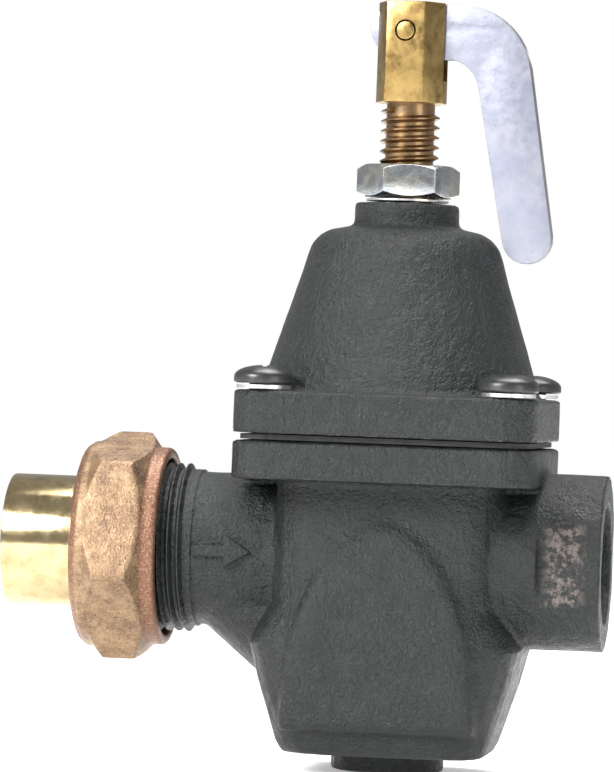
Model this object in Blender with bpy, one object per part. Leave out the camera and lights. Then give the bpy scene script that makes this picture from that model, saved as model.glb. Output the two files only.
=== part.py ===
"""Pressure reducing valve for a boiler's fill line, as an assembly of separate pieces.

Row frame: +X is the flow direction, from the union to the threaded outlet; +Z is up the adjusting screw.
The origin is where the pipe axis crosses the adjusting screw's axis. Sizes are in millimetres, times MM.
"""

from math import cos, pi, radians, sin, sqrt, tau

import bmesh
import bpy
from mathutils import Matrix, Vector

MM = 0.001
GAP = 0.3  # between pieces that touch on the real valve

# Driving sizes of the pipe run
RUN_OUTLET_X = 34.0
OUTLET_R = 14.1
OUTLET_BORE_R = 9.3  # half-inch tapered pipe thread, at its tap drill
OUTLET_BORE_X = 18.0
NECK_R = 12.3
UNION_THREAD_R = 13.5
UNION_THREAD_X = (-40.0, -31.7)
UNION_PITCH = 1.5875
INLET_BORE_R = 7.0
TAIL_R = 10.8
TAIL_BORE_R = 7.95  # takes half-inch copper tube, 15.9 mm outside
TAIL_END_X = -62.2
TAIL_SHOULDER_R = 12.2
NUT_X = (-50.5, -36.4)
NUT_FLATS = 33.8
NUT_TURN = 14.7

# Body casting
FLANGE = 48.0
FLANGE_CORNER = 5.0
BODY_FLANGE_Z = (11.8, 17.9)
BODY_HALF = 18.0
BODY_DEPTH = 17.0
BOTTOM_Z = -31.4
LOWER_CHAMBER_R = 10.0
UPPER_CHAMBER_R = 12.0
DIAPHRAGM_CHAMBER_R = 17.0
SEAT_WEB_Z = (-3.0, 2.5)
PANEL_TOP_Z = 5.0
PANEL_HALF = 15.6

# Bonnet casting
BONNET_FLANGE_Z = (19.0, 25.8)
BONNET_TOP_Z = 56.3
SCREW_PITCH_HALF = 19.25
SCREW_HEAD_R = 4.75

# Adjusting screw, 3/8-16 with a hexagon head
STEM_R = 4.7
STEM_PITCH = 1.5875
STEM_THREAD_Z = (55.0, 71.2)
STEM_END_Z = 42.0
HEAD_Z = (72.3, 88.4)
HEAD_FLATS = 10.8
HEAD_TURN = -7.6  # the lever's heading about +Z
SLOT_WIDTH = 2.6
SLOT_Z = 76.0
ROD_BORE_R = 2.3
ROD_R = 2.0
ROD_Z = (27.1, 78.9)
LEVER_THICK = 2.0
LEVER_WIDTH = 8.0
PIVOT_Z = 83.7
PIN_R = 1.5
CAM_LOW = 4.6
CAM_STROKE = 2.4
JAM_FLATS = 14.3
JAM_Z = (57.2, 62.4)
JAM_WASHER_Z = (56.6, 56.9)
JAM_TURN = -82.0

# Inner parts
SPRING_Z = (21.4, 38.7)
BUTTON_Z = (39.0, 41.7)
SPRING_R = 8.0
SPRING_WIRE_R = 1.25
SPRING_TURNS = 5
STEM_ROD_R = 2.0
PLUG_THREAD_R = 10.0
PLUG_BOSS_R = 9.0
PLUG_END_Z = -34.3


def material(name, colour, roughness, metallic):
    made = bpy.data.materials.new(name)
    made.use_nodes = True
    shader = made.node_tree.nodes["Principled BSDF"]
    shader.inputs["Base Color"].default_value = (*colour, 1.0)
    shader.inputs["Roughness"].default_value = roughness
    shader.inputs["Metallic"].default_value = metallic
    return made


def finish(mesh, name, colour, place=None):
    """Stores a bmesh as one named object, smooth where it is round."""
    bmesh.ops.recalc_face_normals(mesh, faces=mesh.faces)
    bmesh.ops.scale(mesh, vec=(MM,) * 3, verts=mesh.verts)
    data = bpy.data.meshes.new(name)
    mesh.to_mesh(data)
    mesh.free()
    data.shade_smooth()
    data.set_sharp_from_angle(angle=radians(35))
    data.materials.append(colour)
    piece = bpy.data.objects.new(name, data)
    bpy.context.scene.collection.objects.link(piece)
    if place is not None:
        data.transform(place)
    return piece


def turned(name, profile, colour, steps=28, along="Z", closed=True):
    """A piece turned from (radius, height) points, which form a loop unless they meet the axis."""
    mesh = bmesh.new()
    points = [mesh.verts.new((r, 0.0, z)) for r, z in profile]
    pairs = list(zip(points, points[1:]))
    if closed:
        pairs.append((points[-1], points[0]))
    edges = [mesh.edges.new(pair) for pair in pairs]
    bmesh.ops.spin(mesh, geom=points + edges, cent=(0, 0, 0), axis=(0, 0, 1), angle=tau,
                   steps=steps, use_merge=True)
    bmesh.ops.remove_doubles(mesh, verts=mesh.verts, dist=1e-5)
    turn = Matrix.Rotation(pi / 2, 4, "Y") if along == "X" else None
    return finish(mesh, name, colour, turn)


def prism(name, outline, low, high, colour, place=None):
    """An outline in the XY plane, extruded from low to high."""
    mesh = bmesh.new()
    face = mesh.faces.new([mesh.verts.new((x, y, low)) for x, y in outline])
    extruded = bmesh.ops.extrude_face_region(mesh, geom=[face])
    raised = [v for v in extruded["geom"] if isinstance(v, bmesh.types.BMVert)]
    bmesh.ops.translate(mesh, vec=(0, 0, high - low), verts=raised)
    return finish(mesh, name, colour, place)


def hexagon(flats, turn=0.0):
    """Six corners; at turn 0 a flat faces +X."""
    corner = flats / sqrt(3)
    angles = [radians(turn + 30 + 60 * k) for k in range(6)]
    return [(corner * cos(a), corner * sin(a)) for a in angles]


def rounded_square(half_x, half_y, corner, steps=4):
    points = []
    for k, (sx, sy) in enumerate(((1, 1), (-1, 1), (-1, -1), (1, -1))):
        for i in range(steps + 1):
            a = radians(90 * k + 90 * i / steps)
            x = sx * (half_x - corner) + corner * cos(a)
            y = sy * (half_y - corner) + corner * sin(a)
            points.append((x, y))
    return points


def boolean(piece, tool, operation):
    """Applies one Boolean and removes the tool."""
    step = piece.modifiers.new(operation, "BOOLEAN")
    step.operation = operation
    step.solver = "EXACT"
    step.object = tool
    graph = bpy.context.evaluated_depsgraph_get()
    made = bpy.data.meshes.new_from_object(piece.evaluated_get(graph))
    piece.modifiers.clear()
    piece.data = made
    bpy.data.objects.remove(tool)
    return piece


def cut(piece, *tools):
    for tool in tools:
        boolean(piece, tool, "DIFFERENCE")
    return piece


def join(piece, *others):
    for other in others:
        boolean(piece, other, "UNION")
    return piece


def drill(start, end, radius, colour, steps=32):
    """A cylinder from one point to another, as a cutter or a core."""
    start, end = Vector(start), Vector(end)
    mesh = bmesh.new()
    bmesh.ops.create_cone(mesh, cap_ends=True, segments=steps, radius1=radius, radius2=radius,
                          depth=(end - start).length)
    turn = (end - start).to_track_quat("Z", "Y").to_matrix().to_4x4()
    bmesh.ops.transform(mesh, matrix=Matrix.Translation((start + end) / 2) @ turn, verts=mesh.verts)
    return finish(mesh, "drill", colour)


def thread(name, radius, pitch, low, high, colour, inner=0.0, sides=32, rows=6, along="Z"):
    """A helical thread with V grooves that run out at both ends, as a closed bar or tube."""
    depth = 0.6 * pitch
    count = int((high - low) / pitch * rows)
    mesh = bmesh.new()
    rings = []
    for i in range(count + 1):
        z = low + (high - low) * i / count
        fade = min(1.0, (z - low) / (0.8 * pitch), (high - z) / (0.8 * pitch))
        ring = []
        for k in range(sides):
            turns = (z / pitch - k / sides) % 1.0
            groove = 1 - abs(2 * turns - 1)
            r = radius - depth * groove * fade - 0.12 * (1 - fade)
            ring.append(mesh.verts.new((r * cos(tau * k / sides), r * sin(tau * k / sides), z)))
        rings.append(ring)
    if inner:
        bores = [[mesh.verts.new((inner * cos(tau * k / sides), inner * sin(tau * k / sides), z))
                  for k in range(sides)] for z in (high, low)]
        rings += bores
        rings.append(rings[0])
    for a, b in zip(rings, rings[1:]):
        for k in range(sides):
            mesh.faces.new((a[k], a[(k + 1) % sides], b[(k + 1) % sides], b[k]))
    if not inner:
        mesh.faces.new(rings[0][::-1])
        mesh.faces.new(rings[-1])
    turn = Matrix.Rotation(pi / 2, 4, "Y") if along == "X" else None
    return finish(mesh, name, colour, turn)


def chamfered_hexagon(name, flats, low, high, chamfer, colour, bore, turn=0.0):
    """A hexagon whose corners are turned down at both ends, with a plain bore."""
    nut = prism(name, hexagon(flats, turn), low, high, colour)
    corner = flats / sqrt(3)
    rim = corner - chamfer * 1.6
    blank = turned("blank", [(0, low), (rim, low), (corner + 0.02, low + chamfer),
                             (corner + 0.02, high - chamfer), (rim, high), (0, high)], colour, closed=False)
    boolean(nut, blank, "INTERSECT")
    cut(nut, drill((0, 0, low - 1), (0, 0, high + 1), bore, colour))
    return nut


def helix(name, radius, wire, low, high, turns, colour, sides=6, steps=12):
    """A coil spring, with its end coils cut square to stand on a plate."""
    mesh = bmesh.new()
    rings = []
    count = turns * steps
    for i in range(count + 1):
        a = tau * i / steps
        z = low + wire + (high - low - 2 * wire) * i / count
        out = Vector((cos(a), sin(a), 0))
        rings.append([mesh.verts.new(out * (radius + wire * cos(tau * k / sides))
                                     + Vector((0, 0, z + wire * sin(tau * k / sides))))
                      for k in range(sides)])
    for a, b in zip(rings, rings[1:]):
        for k in range(sides):
            mesh.faces.new((a[k], a[(k + 1) % sides], b[(k + 1) % sides], b[k]))
    mesh.faces.new(rings[0])
    mesh.faces.new(rings[-1][::-1])
    return finish(mesh, name, colour)


def flange_holes(piece, radius, low, high, colour):
    for sx in (-1, 1):
        for sy in (-1, 1):
            x, y = sx * SCREW_PITCH_HALF, sy * SCREW_PITCH_HALF
            cut(piece, drill((x, y, low), (x, y, high), radius, colour, steps=12))
    return piece


def body_bowl(colour):
    """The casting's lower half: a box with rounded corners, widest beside the seat, that narrows to its foot."""
    levels = ((BODY_FLANGE_Z[0] + 1, BODY_HALF, BODY_DEPTH), (-8.0, BODY_HALF, BODY_DEPTH),
              (-14.0, 21.5, BODY_DEPTH), (-20.0, 20.0, 16.8), (-29.5, 17.0, 16.0), (BOTTOM_Z, 16.0, 15.0))
    mesh = bmesh.new()
    rings = [[mesh.verts.new((x, y, z)) for x, y in rounded_square(hx, hy, 7.0)] for z, hx, hy in levels]
    for a, b in zip(rings, rings[1:]):
        for k in range(len(a)):
            mesh.faces.new((a[k], a[(k + 1) % len(a)], b[(k + 1) % len(a)], b[k]))
    mesh.faces.new(rings[0])
    mesh.faces.new(rings[-1])
    return finish(mesh, "bowl", colour)


def arched_panel(colour):
    """The flat arched pad on the front of the bowl."""
    foot = -27.5
    rise = PANEL_TOP_Z - foot
    outline = [(PANEL_HALF * cos(radians(a)), foot + rise * sin(radians(a))) for a in range(0, 181, 10)]
    stand = Matrix.Rotation(pi / 2, 4, "X")
    return prism("panel", outline, 8.0, 18.4, colour, stand)


def valve_body(colour):
    body = prism("valve_body", rounded_square(FLANGE / 2, FLANGE / 2, FLANGE_CORNER), *BODY_FLANGE_Z, colour)
    slant_low = (-26.0, 0, -4.0), (-12.0, 0, -15.5)
    join(body, body_bowl(colour),
         drill((-12, 0, 0), (UNION_THREAD_X[1] - 1.0, 0, 0), NECK_R, colour),
         drill(slant_low[0], slant_low[1], 9.0, colour),
         drill((8, 0, 0), (RUN_OUTLET_X, 0, 0), OUTLET_R, colour, steps=48),
         arched_panel(colour))
    join(body, thread("union_end", UNION_THREAD_R, UNION_PITCH, *UNION_THREAD_X, colour,
                      inner=INLET_BORE_R + 2.0, sides=24, rows=2, along="X"))
    join(body, drill((UNION_THREAD_X[0] + 0.2, 0, 0), (UNION_THREAD_X[1] + 1, 0, 0), NECK_R - 0.6, colour))
    for side in (-1, 1):
        flat = prism("flat", [(24.0, -9), (40, -9), (40, 9), (24.0, 9)], 12.6, 20, colour,
                     Matrix.Rotation(side * pi / 2, 4, "X"))
        cut(body, flat)
    cut(body,
        drill((0, 0, SEAT_WEB_Z[1]), (0, 0, 14), UPPER_CHAMBER_R, colour),
        drill((0, 0, 12.6), (0, 0, 19), DIAPHRAGM_CHAMBER_R, colour, steps=48),
        drill((0, 0, BOTTOM_Z - 1), (0, 0, SEAT_WEB_Z[0]), LOWER_CHAMBER_R, colour),
        drill((0, 0, -4), (0, 0, 4), 6.4, colour),
        drill((-41, 0, 0), (-15.5, 0, 0), INLET_BORE_R, colour),
        drill((-20, 0, -2.0), (-6, 0, -14.5), 5.0, colour),
        drill((RUN_OUTLET_X + 1, 0, 0), (OUTLET_BORE_X, 0, 0), OUTLET_BORE_R, colour, steps=40),
        drill((21, 0, 2.5), (6, 0, 8.2), 4.8, colour))
    return flange_holes(body, 1.9, BODY_FLANGE_Z[0] + 0.3, 19, colour)


def bonnet(colour):
    low, top = BONNET_FLANGE_Z
    made = prism("bonnet", rounded_square(FLANGE / 2, FLANGE / 2, FLANGE_CORNER), low, top, colour)
    shoulder = [(10.2 + 5.6 * sin(radians(a)), 46.6 + 5.6 * cos(radians(a)))
                for a in range(80, -1, -20)]
    bell = turned("bell", [(0, top - 1), (22.4, top - 1), (22.2, top + 0.8), (16.4, 45.0), *shoulder,
                           (8.4, 52.6), (8.4, BONNET_TOP_Z), (0, BONNET_TOP_Z)],
                  colour, steps=40, closed=False)
    join(made, bell)
    hollow = turned("hollow", [(0, low - 1), (17.0, low - 1), (17.0, low + 3.0), (18.2, 25.5), (13.2, 43.6),
                               (10.6, 48.2), (0, 48.8)], colour, closed=False)
    cut(made, hollow, drill((0, 0, 48), (0, 0, 58), STEM_R + 0.25, colour))
    for sx in (-1, 1):
        for sy in (-1, 1):
            x, y = sx * SCREW_PITCH_HALF, sy * SCREW_PITCH_HALF
            cut(made, drill((x, y, top), (x, y, top + 9), SCREW_HEAD_R + 0.5, colour, steps=16))
    return flange_holes(made, 2.7, low - 1, top + 1, colour)


def diaphragm(colour):
    """A reinforced rubber sheet with one moulded wave between the clamped rim and the plates."""
    low, high = BODY_FLANGE_Z[1] + 0.15, BONNET_FLANGE_Z[0] - 0.15
    made = prism("diaphragm", rounded_square(FLANGE / 2 - 1.2, FLANGE / 2 - 1.2, FLANGE_CORNER - 1), low, high,
                 colour)
    cut(made, drill((0, 0, low - 1), (0, 0, high + 1), 15.5, colour, steps=30))
    wave = [(2.6, 0), *((10.0 + 1.5 * t, 1.4 * sin(pi * t / 4)) for t in range(4)), (16.0, 0)]
    mean, half = (low + high) / 2, (high - low) / 2
    under = [(r, mean + z - half) for r, z in wave]
    over = [(r, mean + z + half) for r, z in reversed(wave)]
    sheet = turned("wave", under + over, colour, steps=30)
    join(made, sheet)
    return flange_holes(made, 2.7, low - 1, high + 1, colour)


def bonnet_screws(steel, zinc):
    """Pan-head screws with a split lock washer under each head."""
    top = BONNET_FLANGE_Z[1]
    number = 1
    for sx in (-1, 1):
        for sy in (-1, 1):
            place = Matrix.Translation((sx * SCREW_PITCH_HALF * MM, sy * SCREW_PITCH_HALF * MM, 0))
            low, high = top + 0.15, top + 0.75
            washer = turned(f"lock_washer_{number}", [(2.75, low), (4.3, low), (4.3, high), (2.75, high)],
                            zinc, steps=16)
            washer.data.transform(place)
            dome = [(SCREW_HEAD_R * cos(radians(a)), top + 2.0 + 1.9 * sin(radians(a)))
                    for a in range(0, 80, 25)]
            screw = turned(f"bonnet_screw_{number}", [(0, 12.6), (1.6, 12.6), (1.6, 18.0), (2.35, 18.4),
                                                      (2.35, top + 1.0), (SCREW_HEAD_R, top + 1.0), *dome,
                                                      (0, top + 3.9)], steel, steps=14, closed=False)
            for turn in (0, pi / 2):
                slot = prism("slot", [(-2.4, -0.5), (2.4, -0.5), (2.4, 0.5), (-2.4, 0.5)], top + 2.4, top + 5,
                             steel, Matrix.Rotation(turn, 4, "Z"))
                cut(screw, slot)
            screw.data.transform(place)
            number += 1


def union_parts(bronze, brass, fibre):
    """The hexagon union nut, the soldered tail it pulls in, and the flat gasket between them and the body."""
    low, high = NUT_X
    tilt = Matrix.Rotation(pi / 2, 4, "Y")
    nut = prism("union_nut", hexagon(NUT_FLATS, 30 - NUT_TURN), low + 2.2, high - 2.4, bronze, tilt)
    collar = turned("collar", [(11.2, low), (14.0, low), (16.2, low + 1.2), (16.8, low + 3.0), (16.8, high),
                               (14.2, high), (14.2, low + 4.6), (11.2, low + 4.6)], bronze, along="X")
    cut(nut, drill((low, 0, 0), (high, 0, 0), 15.0, bronze))
    join(nut, collar)
    seat = UNION_THREAD_X[0] - 1.9
    tail = turned("tailpiece", [(TAIL_BORE_R, TAIL_END_X), (TAIL_R - 0.5, TAIL_END_X), (TAIL_R, TAIL_END_X + 0.5),
                                (TAIL_R, low + 5.0), (TAIL_SHOULDER_R + 1.2, low + 5.0), (TAIL_SHOULDER_R + 1.2, seat),
                                (7.0, seat), (7.0, -49.5), (TAIL_BORE_R, -49.5)], brass, along="X")
    gasket = turned("union_gasket", [(7.2, seat + GAP), (12.6, seat + GAP), (12.6, UNION_THREAD_X[0] - GAP),
                                     (7.2, UNION_THREAD_X[0] - GAP)], fibre, along="X")
    return nut, tail, gasket


def lever_outline():
    """The lever's edge seen from its flat side, with the pin at the origin and the grip hanging on the right.

    The cam end is an involute, so a flat-topped rod under it goes down evenly as the lever lifts.
    """
    rate = CAM_STROKE / (pi / 2)
    cam = []
    for k in range(9):
        lift = radians(11.25 * k)
        way = 1.5 * pi - lift
        height = CAM_LOW + rate * lift
        cam.append((height * cos(way) + rate * sin(way), height * sin(way) - rate * cos(way)))
    half = LEVER_WIDTH / 2
    crown = [(-3.0 + 4.0 * cos(radians(a)), 4.3 - 4.0 + 4.0 * sin(radians(a))) for a in range(150, 89, -20)]
    bend = Vector((7.8, -7.4))
    grip_end = Vector((19.9, 51.2 - PIVOT_Z))
    outer = [bend + 11.9 * Vector((cos(radians(a)), sin(radians(a)))) for a in range(90, 7, -9)]
    tip = [grip_end + half * (Vector((cos(radians(a)), sin(radians(a))))) for a in range(8, -181, -18)]
    inner_centre = Vector((5.9, -9.6))
    inner = [inner_centre + 5.4 * Vector((cos(radians(a)), sin(radians(a)))) for a in range(8, 91, 12)]
    tail_edge = [Vector((1.5, -CAM_LOW))]
    points = cam + crown + [tuple(p) for p in outer + tip + inner + tail_edge]
    return points[::-1]


def adjuster(brass, steel, zinc):
    """The adjusting screw with its slotted head, and the lever, pin and push rod that it carries."""
    low, high = HEAD_Z
    turn = Matrix.Rotation(radians(HEAD_TURN), 4, "Z")
    screw = chamfered_hexagon("adjusting_screw", HEAD_FLATS, low, high, 0.35, brass, 1.0, turn=30)
    join(screw, drill((0, 0, 71.0), (0, 0, low + 1), 4.1, brass),
         thread("stem_thread", STEM_R, STEM_PITCH, *STEM_THREAD_Z, brass, sides=18, rows=2),
         drill((0, 0, STEM_END_Z), (0, 0, STEM_THREAD_Z[0] + 1.0), STEM_R - 1.1, brass, steps=20))
    slot = prism("slot", [(-9, -SLOT_WIDTH / 2), (9, -SLOT_WIDTH / 2), (9, SLOT_WIDTH / 2), (-9, SLOT_WIDTH / 2)],
                 SLOT_Z, high + 1, brass)
    cut(screw, drill((0, 0, STEM_END_Z - 1), (0, 0, ROD_Z[1] + 1.2), ROD_BORE_R, brass, steps=20), slot,
        drill((0, -9, PIVOT_Z), (0, 9, PIVOT_Z), PIN_R + 0.05, brass, steps=24))
    screw.data.transform(turn)
    upright = Matrix.Translation((0, 0, PIVOT_Z * MM)) @ Matrix.Rotation(pi / 2, 4, "X")
    lever = prism("fill_lever", lever_outline(), -LEVER_THICK / 2, LEVER_THICK / 2, zinc, upright)
    cut(lever, drill((0, -9, PIVOT_Z), (0, 9, PIVOT_Z), PIN_R + 0.08, zinc, steps=24))
    lever.data.transform(turn)
    half = HEAD_FLATS / 2 + 0.15
    pin = drill((0, -half, PIVOT_Z), (0, half, PIVOT_Z), PIN_R, brass, steps=24)
    pin.name = pin.data.name = "lever_pin"
    pin.data.transform(turn)
    rod = drill((0, 0, ROD_Z[0]), (0, 0, ROD_Z[1]), ROD_R, steel, steps=20)
    rod.name = rod.data.name = "push_rod"


def trim(brass, steel, rubber, iron):
    """Seat, poppet, stem, plates, springs and strainer: everything inside the two castings."""
    turned("spring_button", [(ROD_BORE_R, BUTTON_Z[0]), (6.2, BUTTON_Z[0]), (6.2, BUTTON_Z[0] - 1.2),
                             (6.5, BUTTON_Z[0] - 1.2), (6.5, BUTTON_Z[0]), (9.6, BUTTON_Z[0]),
                             (9.6, BUTTON_Z[1] - 0.6), (7.0, BUTTON_Z[1]), (ROD_BORE_R, BUTTON_Z[1])], steel)
    helix("range_spring", SPRING_R, SPRING_WIRE_R, *SPRING_Z, SPRING_TURNS, steel)
    turned("pressure_plate", [(2.3, 19.2), (10.0, 19.2), (10.6, 19.6), (10.6, 21.1), (6.0, 21.1), (6.0, 22.2),
                              (5.6, 22.2), (2.3, 22.2)], steel)
    chamfered_hexagon("stem_nut", 6.4, 22.5, 25.3, 0.3, brass, 2.3)
    turned("lower_plate", [(2.3, 15.4), (9.6, 15.4), (10.2, 16.0), (10.2, 17.6), (2.3, 17.6)], brass)
    turned("valve_stem", [(0, -10.6), (1.3, -10.6), (1.3, -5.0), (1.9, -4.6), (1.9, 13.6), (4.0, 13.6), (4.0, 15.1),
                          (STEM_ROD_R, 15.1), (STEM_ROD_R, 26.2), (1.7, 26.5), (0, 26.5)],
           steel, steps=20, closed=False)
    turned("poppet_disc", [(1.6, -5.6), (5.4, -5.6), (5.4, -3.9), (2.2, -3.9), (2.2, -4.3), (1.6, -4.9)],
           rubber, steps=24)
    turned("disc_holder", [(1.6, -8.4), (3.6, -8.4), (3.6, -6.9), (6.6, -6.9), (6.6, -4.6), (5.7, -4.6), (5.7, -5.9),
                           (1.6, -5.9)], brass, steps=24)
    turned("holder_nut", [(1.6, -10.4), (2.9, -10.4), (2.9, -8.7), (1.6, -8.7)], brass, steps=6)
    turned("seat_ring", [(3.6, -3.6), (4.6, -3.6), (5.4, -2.9), (6.1, -2.9), (6.1, 2.8), (8.2, 2.8), (8.2, 4.2),
                         (3.6, 4.2)], brass, steps=20)
    helix("poppet_spring", 4.6, 0.45, -26.6, -11.0, 6, steel, sides=5, steps=12)
    turned("strainer_screen", [(8.4, -27.0), (8.9, -27.0), (8.9, -9.4), (8.4, -9.4)], steel, steps=20)
    turned("bottom_plug", [(0, PLUG_END_Z), (PLUG_BOSS_R - 0.7, PLUG_END_Z), (PLUG_BOSS_R, PLUG_END_Z + 0.7),
                           (PLUG_BOSS_R, BOTTOM_Z - 0.2), (PLUG_THREAD_R - 0.15, BOTTOM_Z - 0.2),
                           (PLUG_THREAD_R - 0.15, -28.9), (5.6, -28.9), (5.6, -27.6), (0, -27.6)], iron, closed=False)
    turned("plug_seal", [(8.0, -28.6), (9.8, -28.6), (9.8, -27.3), (8.0, -27.3)], rubber, steps=20)


def main():
    for old in list(bpy.data.objects):
        bpy.data.objects.remove(old)
    iron = material("black_iron", (0.045, 0.05, 0.05), 0.55, 0.2)
    bronze = material("cast_bronze", (0.55, 0.33, 0.19), 0.5, 0.8)
    brass = material("brass", (0.75, 0.56, 0.22), 0.25, 1.0)
    zinc = material("zinc_plate", (0.75, 0.76, 0.8), 0.3, 0.9)
    steel = material("steel", (0.45, 0.45, 0.47), 0.35, 0.9)
    black = material("black_steel", (0.04, 0.045, 0.05), 0.45, 0.6)
    rubber = material("rubber", (0.02, 0.02, 0.02), 0.7, 0.0)
    fibre = material("fibre", (0.35, 0.12, 0.08), 0.8, 0.0)
    valve_body(iron)
    bonnet(iron)
    diaphragm(rubber)
    bonnet_screws(black, zinc)
    union_parts(bronze, brass, fibre)
    adjuster(brass, steel, zinc)
    chamfered_hexagon("jam_nut", JAM_FLATS, *JAM_Z, 0.8, zinc, STEM_R + 0.2, turn=JAM_TURN)
    turned("jam_washer", [(STEM_R + 0.2, JAM_WASHER_Z[0]), (6.6, JAM_WASHER_Z[0]), (6.6, JAM_WASHER_Z[1]),
                          (STEM_R + 0.2, JAM_WASHER_Z[1])], zinc, steps=28)
    trim(brass, steel, rubber, iron)


main()
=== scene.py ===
# %% [markdown]
# # A pressure reducing valve, finished
#
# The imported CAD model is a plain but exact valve. This lesson puts a good surface on it: rough painted
# castings, a sandy bronze nut, polished brass and zinc. The CAD stays the ruler, so the first step loads
# it and keeps its box. Everything is in metres, with +X along the flow and +Z up the adjusting screw.

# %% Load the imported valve
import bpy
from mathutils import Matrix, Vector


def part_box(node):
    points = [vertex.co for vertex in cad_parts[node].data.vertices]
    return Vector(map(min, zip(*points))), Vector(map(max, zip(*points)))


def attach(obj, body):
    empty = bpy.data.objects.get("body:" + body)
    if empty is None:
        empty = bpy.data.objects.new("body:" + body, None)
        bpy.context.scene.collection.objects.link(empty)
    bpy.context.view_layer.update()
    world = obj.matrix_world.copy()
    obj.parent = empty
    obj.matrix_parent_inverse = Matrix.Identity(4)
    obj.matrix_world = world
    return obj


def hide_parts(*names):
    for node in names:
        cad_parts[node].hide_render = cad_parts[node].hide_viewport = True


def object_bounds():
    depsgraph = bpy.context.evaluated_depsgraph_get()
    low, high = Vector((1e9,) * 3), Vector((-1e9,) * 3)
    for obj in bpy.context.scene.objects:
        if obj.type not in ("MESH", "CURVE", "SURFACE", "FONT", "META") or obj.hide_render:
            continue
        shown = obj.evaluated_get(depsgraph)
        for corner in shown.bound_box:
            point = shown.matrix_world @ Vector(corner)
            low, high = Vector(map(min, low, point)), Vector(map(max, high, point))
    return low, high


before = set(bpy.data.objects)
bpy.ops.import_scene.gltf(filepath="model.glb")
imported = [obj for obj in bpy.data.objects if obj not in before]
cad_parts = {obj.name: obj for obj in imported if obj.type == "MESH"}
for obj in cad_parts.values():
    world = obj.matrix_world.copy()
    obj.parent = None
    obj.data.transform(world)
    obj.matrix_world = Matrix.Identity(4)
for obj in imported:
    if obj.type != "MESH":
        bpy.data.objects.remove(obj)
cad_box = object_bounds()
print("CAD box in mm:", [tuple(round(c * 1000, 1) for c in corner) for corner in cad_box])

# %% [markdown]
# Blender works in metres, but a valve is easier to think of in millimetres. Shapes are built in
# millimetres here, and one scale at the end of each piece turns them into metres.

# %% Names used all the way through
from math import cos, pi, radians, sin, sqrt, tau

import bmesh
import bpy
from mathutils import Matrix, Vector

MM = 0.001
HOUSING = "housing"

# %% [markdown]
# ## Materials
#
# Each finish is one Principled shader fed by noise. Noise reads Object coordinates, which are metres here,
# so a Mapping node first turns them into millimetres and every Scale below is "features per millimetre".
# The helper makes the noise, ramp and bump nodes that all finishes share; each finish then says how much.


# %% A small kit for procedural finishes
NOISE_LOW = 0.3
NOISE_HIGH = 0.7


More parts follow.
